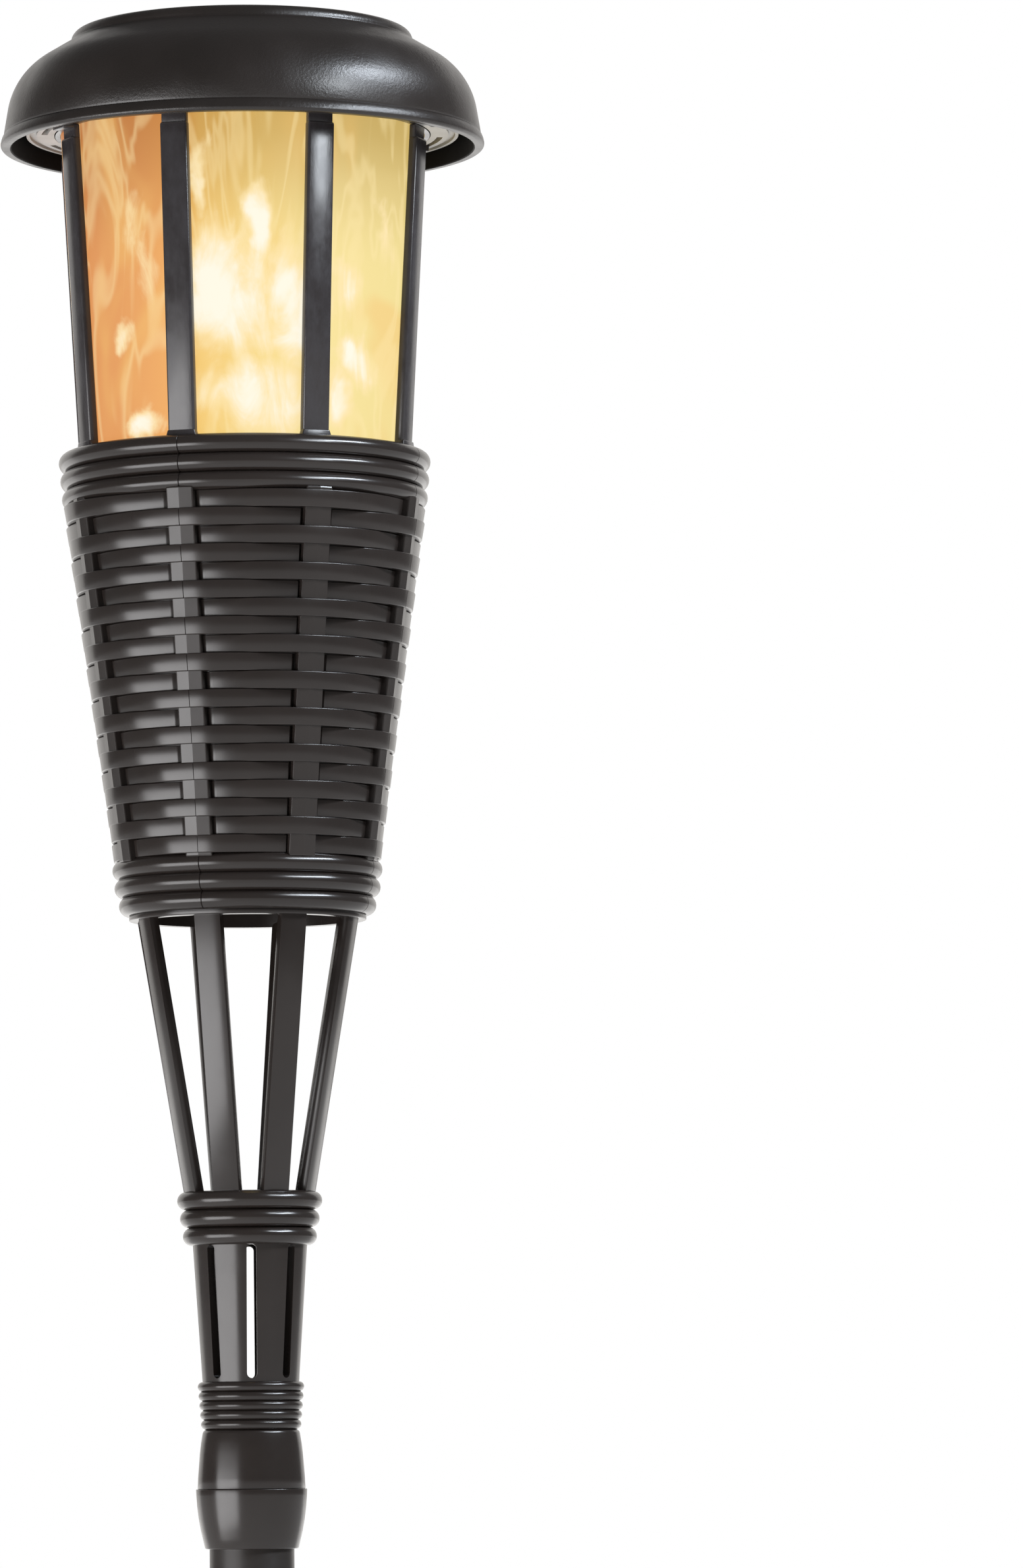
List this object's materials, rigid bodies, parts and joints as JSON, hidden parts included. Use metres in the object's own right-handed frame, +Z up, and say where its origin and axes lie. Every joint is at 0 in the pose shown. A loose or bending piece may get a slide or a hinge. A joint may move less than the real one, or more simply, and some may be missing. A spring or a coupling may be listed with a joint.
{
  "type": "solar garden torch",
  "caption": "Solar tiki torch: domed cap over a flame lantern, woven basket, strut cone and pole socket, on a jointed tube pole with a ground stake.",
  "frame": {"origin": "on the torch's axis at the ground line, the underside of the stake's flange", "axes": "+Z up along the pole; -Y is the front, between two lantern ribs; +X to the right seen from the front"},
  "size_m": [0.1446, 0.1446, 1.482],
  "materials": {
    "dark_plastic": "satin moulded plastic, dark bronze brown",
    "pole_plastic": "satin extruded tube, dark bronze brown",
    "pale_plastic": "fine matte moulded plastic, light grey",
    "white_plastic": "matte white",
    "flame_diffuser": "translucent, lit from within with a flame pattern",
    "black_rubber": "matte",
    "black_plastic": "fine matte",
    "steel": "zinc plated",
    "circuit_green": "solder mask",
    "solar_cell": "dark blue cells with fine silver lines",
    "clear_window": "clear gloss",
    "lamp_strip": "flexible board, white",
    "lamp_chip": "warm lamp chips",
    "battery_wrap": "shrink sleeve",
    "red_lead": "soft insulation",
    "black_lead": "soft insulation",
    "white_lead": "soft insulation"
  },
  "bodies": {
    "stake": {"ground_stake": "dark_plastic"},
    "lower_pole": {"lower_pole": "pole_plastic", "pole_joiner": "dark_plastic"},
    "upper_pole": {"upper_pole": "pole_plastic"},
    "head": {"pole_adapter": "dark_plastic", "strut_cone": "dark_plastic", "basket": "dark_plastic", "lantern_cage": "dark_plastic", "cage_screws": "steel", "flame_diffuser": "flame_diffuser"},
    "seal": {"seal_ring": "black_rubber"},
    "cap": {"light_plate": "pale_plastic", "plate_screws": "steel", "cap_shell": "dark_plastic", "panel_gasket": "black_rubber", "panel_board": "circuit_green", "solar_cells": "solar_cell", "panel_window": "clear_window", "lamp_post": "white_plastic", "post_screws": "steel", "lamp_strip": "lamp_strip", "lamp_chips": "lamp_chip", "circuit_board": "circuit_green", "board_screws": "steel", "board_parts": "black_plastic", "switch_body": "steel", "battery": "battery_wrap", "battery_contacts": "steel", "battery_spring": "steel", "panel_leads": "red_lead", "battery_leads": "black_lead", "strip_leads": "white_lead"},
    "switch": {"switch_slider": "black_plastic"},
    "battery_door": {"battery_door": "pale_plastic", "door_screw": "steel"}
  },
  "joints": [
    {"name": "lower_pole_pull", "type": "slide", "parent": "stake", "child": "lower_pole", "axis": [0, 0, 1], "range_m": [0, 0.05]},
    {"name": "upper_pole_pull", "type": "slide", "parent": "lower_pole", "child": "upper_pole", "axis": [0, 0, 1], "range_m": [0, 0.045]},
    {"name": "head_pull", "type": "slide", "parent": "upper_pole", "child": "head", "axis": [0, 0, 1], "range_m": [0, 0.045]},
    {"name": "cap_turn", "type": "hinge", "parent": "head", "child": "seal", "pos_m": [0, 0, 1.264], "axis": [0, 0, 1], "range_deg": [0, 15]},
    {"name": "cap_lift", "type": "slide", "parent": "seal", "child": "cap", "axis": [0, 0, 1], "range_m": [0, 0.12]},
    {"name": "switch_slide", "type": "slide", "parent": "cap", "child": "switch", "axis": [0, 1, 0], "range_m": [0, 0.003]},
    {"name": "battery_door_pull", "type": "slide", "parent": "cap", "child": "battery_door", "axis": [0, 0, -1], "range_m": [0, 0.02]}
  ]
}
